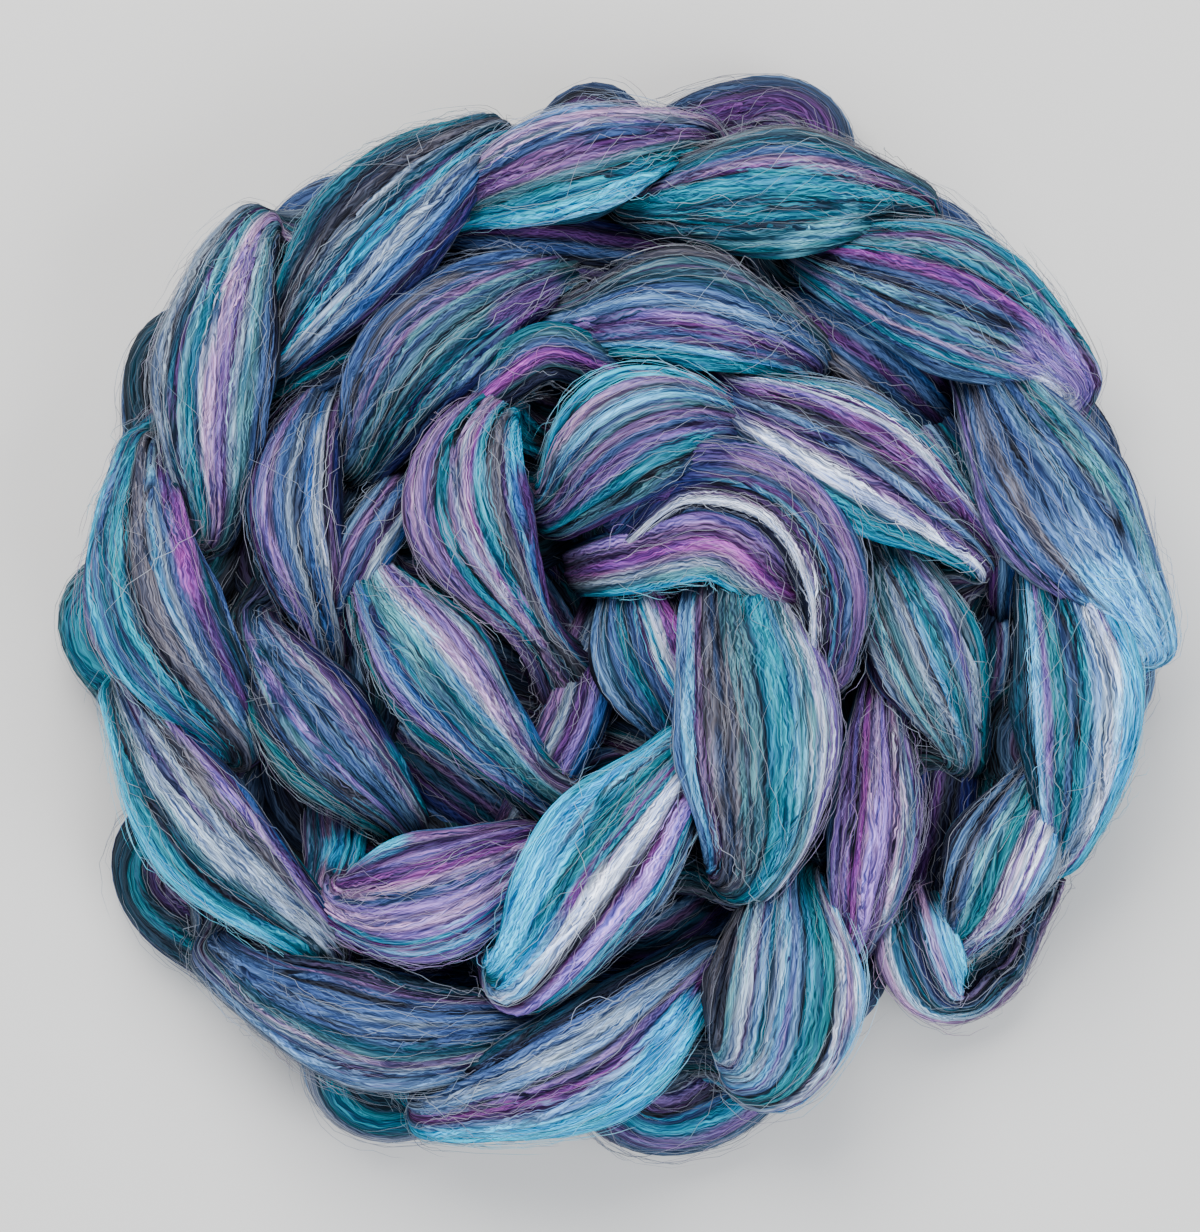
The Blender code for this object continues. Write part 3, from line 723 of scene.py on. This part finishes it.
def build_link(number, row, stripes, sizes, palette):
    """Points, colours and places of one link, with painted shade darkening it towards its ends."""
    path = np.asarray(link_path(row))
    step = np.linalg.norm(np.diff(path[:, :3], axis=0), axis=1).sum() / LINK_RINGS
    run = resampled(sections(path, step), LINK_RINGS)
    run["turn"] = np.full(LINK_RINGS, pi / 2)
    angles = ring_angles(LINK_CORNERS)
    seed = sizes.seed * 100 + 40 + number
    table, hidden = (chart(text, palette) for text in (stripes, HIDDEN))
    dye, second, rise = dyed(run, angles, [table, table, hidden], seed)
    share, length = corner_places(run, angles)
    rise = sizes.ridge / MM * (rise + 0.4 * drift(share * 22, length / 20, seed, 22))
    rise[:, -1] = rise[:, 0]
    # Painted shade where the link's ends dive under the folds.
    shade = (1 - 0.75 * ease(0.24, 0.42, np.abs(np.linspace(-0.5, 0.5, LINK_RINGS))))[:, None, None]
    points = tube_points(run, angles, rise)
    along, across = length / 10 + 2000 + 40 * number, np.broadcast_to(angles * 0.7, rise.shape)
    return dict(zip(GRIDS, (points, dye * shade, second * shade, along, across)), angles=angles, run=run)


def surface_normals(points):
    """Outward directions on a tube's grid."""
    down = np.gradient(points, axis=0)
    round_ = np.roll(points[:, :-1], -1, axis=1) - np.roll(points[:, :-1], 1, axis=1)
    round_ = np.concatenate([round_, round_[:, :1]], axis=1)
    normal = unit(np.cross(round_, down))
    centre = points[:, :-1].mean(axis=1, keepdims=True)
    flip = ((points - centre) * normal).sum(-1).mean(axis=1)
    return normal * np.where(flip < 0, -1, 1)[:, None, None]


def read_grid(values, row, column):
    """Values of a strand's grid at fractional rows and columns."""
    rows, columns = values.shape[:2]
    row = np.clip(row, 0, rows - 1.001)
    column = np.clip(column, 0, columns - 1.001)
    i, j = row.astype(int), column.astype(int)
    s, t = (row - i)[..., None], (column - j)[..., None]
    near, far = (values[i, k] * (1 - s) + values[i + 1, k] * s for k in (j, j + 1))
    return near * (1 - t) + far * t


def on_wool(tube, rows, angle):
    """Columns of a tube's grid at some rows and angles, with the places and outward directions there."""
    angle = angle % tau
    column = np.interp(angle, tube["angles"], np.arange(len(tube["angles"])))
    column = np.where(angle > tube["angles"][-1], 0, column)
    normals = surface_normals(tube["points"])
    return column, read_grid(tube["points"], rows, column), unit(read_grid(normals, rows, column))


def laid(tube, count, knots, reach, rng):
    """Paths of loose wool along a tube: their rows, shares of the way, lengths and the tube's radii."""
    centre, half, run = (tube["run"][key] for key in ("centre", "half", "run"))
    seen = np.where(np.hypot(*(centre[:, :2] - MIDDLE).T) > RIM, 0.45, 0.05)
    weight = np.where(np.sin(tube["run"]["turn"]) > 0.1, 0.75, seen)
    weight = weight * np.linalg.norm(np.gradient(centre, axis=0), axis=1)
    weight[:6] = weight[-6:] = 0
    row0 = rng.choice(len(run), size=count, p=weight / weight.sum())
    length = rng.uniform(*reach, count)[:, None]
    t = np.linspace(-0.5, 0.5, knots)[None]
    rows = np.clip(row0[:, None] + t * length / np.gradient(run)[row0][:, None], 1, len(run) - 2)
    return rows, t, length, np.interp(rows[:, :1], np.arange(len(half)), half)


def spun(paths, normals, half_width, half_height, corners):
    """Closed thin tubes along many paths at once."""
    tangent = unit(np.gradient(paths, axis=1))
    normal = unit(normals - tangent * (normals * tangent).sum(-1, keepdims=True))
    side = np.cross(tangent, normal)
    angle = np.linspace(0, tau, corners + 1)
    wide, high = np.cos(angle) * half_width[..., None], np.sin(angle) * half_height[..., None]
    points = paths[:, :, None] + side[:, :, None] * wide[..., None] + normal[:, :, None] * high[..., None]
    points[:, 0], points[:, -1] = paths[:, :1], paths[:, -1:]
    points[..., 2] = np.maximum(points[..., 2], 0.0)
    return points


def all_round(values, corners):
    """Values of the knots of many paths, the same all round their tubes."""
    return np.repeat(values[:, :, None], corners + 1, axis=2)


def lay_locks(sizes):
    """Points, colours and places of the locks, which lie flat on the strands."""
    rng = np.random.default_rng(sizes.seed + 1)
    knots, corners = 14, 6
    count = sizes.locks // STRANDS
    each = (count, 1)
    parts = []
    for first in range(STRANDS):
        strand = TUBES[first]
        rows, t, length, radius = laid(strand, count, knots, (16, 40), rng)
        angle = np.arccos(rng.uniform(-0.98, 0.98, count))
        angle = np.where(rng.random(count) < UNDER_LOCKS, -angle % tau, angle)[:, None]
        lean = rng.uniform(-0.05, 0.05, each) * length * t / radius
        curl = 0.7 * np.sin(t * rng.uniform(3, 7, each) + rng.uniform(0, tau, each)) / radius
        column, place, normal = on_wool(strand, rows, angle + lean + curl)
        shape = 1 - np.abs(2 * t) ** 2.5
        width = sizes.lock_width / MM / 2 * rng.uniform(0.5, 1.5, each) * shape + 0.02
        place = place + normal * ((0.30 * shape - 0.22) * width.clip(0.3))[..., None]
        beside = np.clip(column + rng.normal(0, 1.1, each), 0, len(strand["angles"]) - 1)
        # The strand's colours read here carry its painted shade.
        dye = read_grid(strand["dye"], rows, beside) * rng.uniform(0.8, 1.25, (*each, 1))
        along = t * length / 10 + rng.uniform(0, 400, each)
        across = np.linspace(0, 1, corners + 1) * 2 * width[..., None] * 2 / 10
        across = across + rng.uniform(0, 40, (*each, 1))
        parts.append((
            spun(place, normal, width, width * 0.55, corners),
            all_round(dye, corners),
            all_round(read_grid(strand["second"], rows, column), corners),
            all_round(along, corners),
            across,
        ))
    return [np.concatenate(layer) for layer in zip(*parts)]


def spin_fibres(sizes):
    """Points, colours and places of the fibres, piece by piece."""
    rng = np.random.default_rng(sizes.seed + 2)
    knots, corners = 18, 3
    lengths = {key: tube["run"]["run"][-1] for key, tube in TUBES.items()}
    parts = []
    for key, tube in TUBES.items():
        count = int(sizes.fibres * lengths[key] / sum(lengths.values()))
        each = (count, 1)
        reach = (8, 16) if key in LINKS else (12, 34)
        rows, t, length, radius = laid(tube, count, knots, reach, rng)
        angle = np.arccos(rng.uniform(-1, 1, each))
        rim = rng.random(each) < RIM_FIBRES
        angle = np.where(rim, rng.uniform(-0.6, 0.5, each), angle)
        loose = rng.random(each) < LOOSE_FIBRES
        lean = np.where(loose, rng.normal(0, 0.45, each), rng.normal(0, 0.09, each))
        phase = rng.uniform(0, tau, each)
        crimp = np.where(rim, 2.0, 1.0) * sizes.crimp_width / MM
        crimp = crimp * np.sin(t * length * tau / (1.7 * sizes.crimp_length / MM) + phase)
        bow = rng.uniform(-2.2, 2.2, each) * (1 - (2 * t) ** 2)
        bow = bow + rng.normal(0, 0.7, each) * np.sin(t * rng.uniform(5, 11, each) + phase)
        column, place, normal = on_wool(tube, rows, angle + (lean * length * t + crimp + bow) / radius)
        lift = np.where(loose | rim, rng.uniform(0.2, 3.0, each), rng.uniform(0.1, 0.6, each))
        shape = 1 - np.abs(2 * t) ** 3
        profile = np.where(rim, 0.1 + 1.1 * (t + 0.5) ** 1.5, 0.35 + 0.65 * shape)
        place = place + normal * (lift * profile + 0.15)[..., None]
        width = sizes.fibre_width / MM / 2 * rng.uniform(0.7, 1.3, each) * (0.35 + 0.65 * shape)
        # The tube's colours read here carry its painted shade.
        dye = read_grid(tube["dye"], rows, column)
        dye = all_round(dye + rng.uniform(0.0, 0.4, (*each, 1)) * (PALE_FIBRE - dye), corners)
        along = t * length / 10 + rng.uniform(0, 400, each)
        across = np.tile(rng.uniform(0, 40, each), knots)
        points = spun(place, normal, width, width, corners)
        parts.append((points, dye, dye, all_round(along, corners), all_round(across, corners)))
    layers = [np.concatenate(layer) for layer in zip(*parts)]
    picks = np.array_split(rng.permutation(len(layers[0])), FIBRE_PIECES)
    return [[layer[pick] for layer in layers] for pick in picks]


# ---- materials


def node(tree, kind, inputs=(), **settings):
    """A shader node with its inputs, each a value or a socket to link."""
    made = tree.nodes.new(kind)
    for key, value in settings.items():
        setattr(made, key, value)
    for key, value in dict(inputs).items():
        if isinstance(value, bpy.types.NodeSocket):
            tree.links.new(value, made.inputs[key])
        else:
            made.inputs[key].default_value = value
    return made


def sums(tree, operation, *values):
    """The result of a Math node."""
    return node(tree, "ShaderNodeMath", dict(enumerate(values)), operation=operation).outputs[0]


def spread(tree, value, low, high, to_low, to_high):
    """A value taken smoothly from one range to another."""
    names = ("Value", "From Min", "From Max", "To Min", "To Max")
    inputs = dict(zip(names, (value, low, high, to_low, to_high)))
    return node(tree, "ShaderNodeMapRange", inputs, interpolation_type="SMOOTHSTEP").outputs[0]


def blend(tree, factor, a, b, mode="MIX"):
    """Two colours mixed."""
    return node(tree, "ShaderNodeMix", {0: factor, 6: a, 7: b}, data_type="RGBA", blend_type=mode).outputs[2]


def grain(tree, u, v, across, along, detail, layer):
    """Streaks: chance values that change fast across the fibres and slowly along them."""
    place = {"X": sums(tree, "MULTIPLY", u, across), "Y": sums(tree, "MULTIPLY", v, along), "Z": layer}
    place = node(tree, "ShaderNodeCombineXYZ", place).outputs[0]
    inputs = {"Vector": place, "Scale": 1.0, "Detail": detail, "Roughness": 0.62}
    return node(tree, "ShaderNodeTexNoise", inputs).outputs[0]


def new_material(name, roughness, specular):
    """A material, its nodes and its shader."""
    material = bpy.data.materials.new(name)
    material.use_nodes = True
    shader = material.node_tree.nodes["Principled BSDF"]
    shader.inputs["Roughness"].default_value = roughness
    shader.inputs["Specular IOR Level"].default_value = specular
    return material, material.node_tree, shader


def wool_place(tree):
    """The place on the wool across and along its fibres, in centimetres."""
    uv = node(tree, "ShaderNodeUVMap", uv_map="strand").outputs[0]
    return node(tree, "ShaderNodeSeparateXYZ", {0: uv}).outputs


def wool_material():
    """Combed wool: crimped fibres in streaks of two dyes, with painted shade in the gaps between them and
    painted highlights on single fibres.
    """
    if "dyed wool" in bpy.data.materials:
        return bpy.data.materials["dyed wool"]
    sizes = bpy.context.scene.wool_sizes
    material, tree, shader = new_material("dyed wool", 0.7, 0.12)
    u, v = (sums(tree, "MULTIPLY", output, 10.0) for output in list(wool_place(tree))[:2])
    phase = sums(tree, "MULTIPLY", grain(tree, u, v, 0.35, 0.12, 1.0, 3.0), 14.0)
    turns = sums(tree, "MULTIPLY", v, tau / (sizes.crimp_length / MM))
    sway = sums(tree, "MULTIPLY", grain(tree, u, v, 0.12, 0.09, 0.0, 9.0), 2.4)
    swayed = sums(tree, "ADD", u, sway)
    wave = sums(tree, "SINE", sums(tree, "ADD", turns, phase))
    bent = sums(tree, "ADD", swayed, sums(tree, "MULTIPLY", wave, sizes.crimp_width / MM * 0.6))
    fine = grain(tree, bent, v, 3.4, 0.10, 1.0, 1.0)
    lock = grain(tree, bent, v, 0.70, 0.035, 2.0, 5.0)
    light, dark = 0.0, 0.0
    for layer, (lean, pace, across) in enumerate(((0.09, 1.15, 2.6), (-0.12, 0.84, 2.3), (0.24, 0.7, 2.0))):
        wave = sums(tree, "SINE", sums(tree, "ADD", sums(tree, "MULTIPLY", turns, pace), phase))
        place = sums(tree, "ADD", swayed, sums(tree, "MULTIPLY", wave, sizes.crimp_width / MM))
        place = sums(tree, "ADD", place, sums(tree, "MULTIPLY", v, lean))
        hair = grain(tree, place, v, across, 0.09, 0.0, 13.0 + 4 * layer)
        light = sums(tree, "MAXIMUM", light, spread(tree, hair, 0.58, 0.66, 0.0, 1.0))
        dark = sums(tree, "MAXIMUM", dark, spread(tree, hair, 0.34, 0.42, 1.0, 0.0))
    names = ("dye", "second_dye")
    dye, second = (node(tree, "ShaderNodeAttribute", attribute_name=n).outputs["Color"] for n in names)
    colour = blend(tree, spread(tree, sums(tree, "ADD", fine, lock), 1.02, 1.16, 0.0, 0.65), dye, second)
    # Painted shade: navy darkening in the gaps between streaks of fibres, which also varies the tone at
    # random.
    for streak, low, high, shade in (
        (fine, 0.36, 0.54, (0.27, 0.33, 0.47, 1.0)),
        (lock, 0.38, 0.55, (0.34, 0.40, 0.54, 1.0)),
    ):
        deep = blend(tree, 1.0, colour, shade, "MULTIPLY")
        colour = blend(tree, spread(tree, streak, low, high, 0.0, 1.0), deep, colour)
    # Painted shade in the gaps between single fibres.
    deep = blend(tree, 1.0, colour, (0.32, 0.38, 0.50, 1.0), "MULTIPLY")
    colour = blend(tree, sums(tree, "MULTIPLY", dark, 0.58), colour, deep)
    # Painted highlights: the fine streaks and single fibres are lightened towards a pale blue.
    painted_highlight = blend(tree, 1.0, colour, (2.35, 2.4, 2.45, 1.0), "MULTIPLY")
    pale = blend(tree, 0.05, painted_highlight, (0.48, 0.60, 0.80, 1.0))
    colour = blend(tree, spread(tree, fine, 0.52, 0.66, 0.0, 0.6), colour, pale)
    colour = blend(tree, sums(tree, "MULTIPLY", light, 0.65), colour, pale)
    tree.links.new(colour, shader.inputs["Base Color"])
    height = sums(tree, "ADD", sums(tree, "MULTIPLY", fine, 0.4), sums(tree, "MULTIPLY", lock, 1.0))
    height = sums(tree, "ADD", height, sums(tree, "MULTIPLY", sums(tree, "SUBTRACT", light, dark), 0.12))
    bump = node(tree, "ShaderNodeBump", {"Strength": 0.8, "Distance": 0.0005, "Height": height})
    tree.links.new(bump.outputs[0], shader.inputs["Normal"])
    return material


def fibre_material():
    """A single fibre: its dye, greyer in streaks, with a soft sheen."""
    if "single fibre" in bpy.data.materials:
        return bpy.data.materials["single fibre"]
    material, tree, shader = new_material("single fibre", 0.5, 0.4)
    dye = node(tree, "ShaderNodeAttribute", attribute_name="dye").outputs["Color"]
    place = wool_place(tree)
    streak = spread(tree, grain(tree, place[0], place[1], 3.0, 1.3, 1.0, 2.0), 0.35, 0.65, 0.0, 0.4)
    tree.links.new(blend(tree, streak, dye, (0.42, 0.46, 0.56, 1.0)), shader.inputs["Base Color"])
    shader.inputs["Sheen Weight"].default_value = 0.15
    return material


# ---- operators


class WOOL_OT_strands(bpy.types.Operator):
    """Rolls and dyes the three strands of the plait"""

    bl_idname = "wool.strands"
    bl_label = "Strands"

    def execute(self, context):
        for first in range(STRANDS):
            TUBES[first] = build_strand(first, context.scene.wool_sizes, context.scene.wool_dyes)
            rolled(f"strand_{first + 1}", *(TUBES[first][key][None] for key in GRIDS))
        return {"FINISHED"}


class WOOL_OT_links(bpy.types.Operator):
    """Rolls and dyes the short lengths that show between the folds"""

    bl_idname = "wool.links"
    bl_label = "Links"

    def execute(self, context):
        for k, (name, row) in enumerate(LINKS.items()):
            stripes = LINK_STRIPES.get(name, HIDDEN)
            TUBES[name] = build_link(k, row, stripes, context.scene.wool_sizes, context.scene.wool_dyes)
        rolled("links", *(np.stack([TUBES[name][key] for name in LINKS]) for key in GRIDS))
        return {"FINISHED"}


class WOOL_OT_locks(bpy.types.Operator):
    """Lays loose locks of wool over the strands"""

    bl_idname = "wool.locks"
    bl_label = "Locks"

    def execute(self, context):
        rolled("locks", *lay_locks(context.scene.wool_sizes))
        return {"FINISHED"}


class WOOL_OT_fibres(bpy.types.Operator):
    """Spins the single crimped fibres that stand off the wool"""

    bl_idname = "wool.fibres"
    bl_label = "Fibres"

    def execute(self, context):
        for k, layers in enumerate(spin_fibres(context.scene.wool_sizes)):
            rolled(f"fibres_{k + 1}", *layers)
        return {"FINISHED"}


class WOOL_OT_stage(bpy.types.Operator):
    """Sets the floor, the lights and the camera"""

    bl_idname = "wool.stage"
    bl_label = "Stage"

    def execute(self, context):
        scene = context.scene
        bm = bmesh.new()
        bmesh.ops.create_grid(bm, x_segments=1, y_segments=1, size=3.0)
        mesh = bpy.data.meshes.new("floor")
        bm.to_mesh(mesh)
        bm.free()
        floor = placed("floor", mesh, (0.0, 0.0, -0.0002))
        pale, _, shader = new_material("pale floor", 0.8, 0.5)
        shader.inputs["Base Color"].default_value = (0.74, 0.73, 0.71, 1.0)
        mesh.materials.append(pale)

        world = bpy.data.worlds.new("studio")
        world.use_nodes = True
        sky = world.node_tree.nodes["Background"].inputs
        sky["Color"].default_value, sky["Strength"].default_value = (0.86, 0.90, 1.0, 1.0), 0.44
        scene.world = world
        for name, place, size, power, warmth in (
            ("window", (-0.25, 0.75, 1.0), 0.9, 25.2, (1.0, 0.99, 0.97)),
            ("fill", (0.75, -0.55, 0.8), 1.0, 16.0, (0.92, 0.96, 1.0)),
            ("back", (-0.9, -0.5, 0.6), 1.0, 6.0, (0.95, 0.97, 1.0)),
        ):
            lamp = bpy.data.lights.new(name, "AREA")
            lamp.size, lamp.energy, lamp.color = size, power, warmth
            x, y, z = place
            aim = (np.arctan2(np.hypot(x, y), z), 0.0, np.arctan2(x, -y))
            placed(name, lamp, place).rotation_euler = aim

        # The camera stands over the coil and takes in a set width at the level of its folds.
        height, level, width = 1.3, 0.036, 0.240
        lens = bpy.data.cameras.new("camera")
        lens.sensor_fit, lens.sensor_width = "HORIZONTAL", 36.0
        lens.lens = 36.0 * (height - level) / width
        lens.clip_start, lens.clip_end = 0.01, 20.0
        scene.camera = placed("camera", lens, (-0.00294, 0.0002, height))
        return {"FINISHED"}


class WOOL_PT_panel(bpy.types.Panel):
    """Sizes, dyes and pieces of the braid"""

    bl_idname = "WOOL_PT_panel"
    bl_label = "Wool braid"
    bl_space_type = "VIEW_3D"
    bl_region_type = "UI"
    bl_category = "Wool braid"

    def draw(self, context):
        for group in (context.scene.wool_sizes, context.scene.wool_dyes):
            box = self.layout.box()
            for name in group.__annotations__:
                box.prop(group, name)
        for kind in OPERATORS:
            self.layout.operator(kind.bl_idname)


OPERATORS = (WOOL_OT_strands, WOOL_OT_links, WOOL_OT_locks, WOOL_OT_fibres, WOOL_OT_stage)
CLASSES = (DyePalette, BraidSizes, *OPERATORS, WOOL_PT_panel)


def register():
    for kind in CLASSES:
        bpy.utils.register_class(kind)
    bpy.types.Scene.wool_dyes = bpy.props.PointerProperty(type=DyePalette)
    bpy.types.Scene.wool_sizes = bpy.props.PointerProperty(type=BraidSizes)


def unregister():
    del bpy.types.Scene.wool_sizes
    del bpy.types.Scene.wool_dyes
    for kind in reversed(CLASSES):
        bpy.utils.unregister_class(kind)


def main():
    register()
    bpy.ops.wool.strands()
    bpy.ops.wool.links()
    bpy.ops.wool.locks()
    bpy.ops.wool.fibres()
    bpy.ops.wool.stage()


if __name__ == "__main__":
    main()
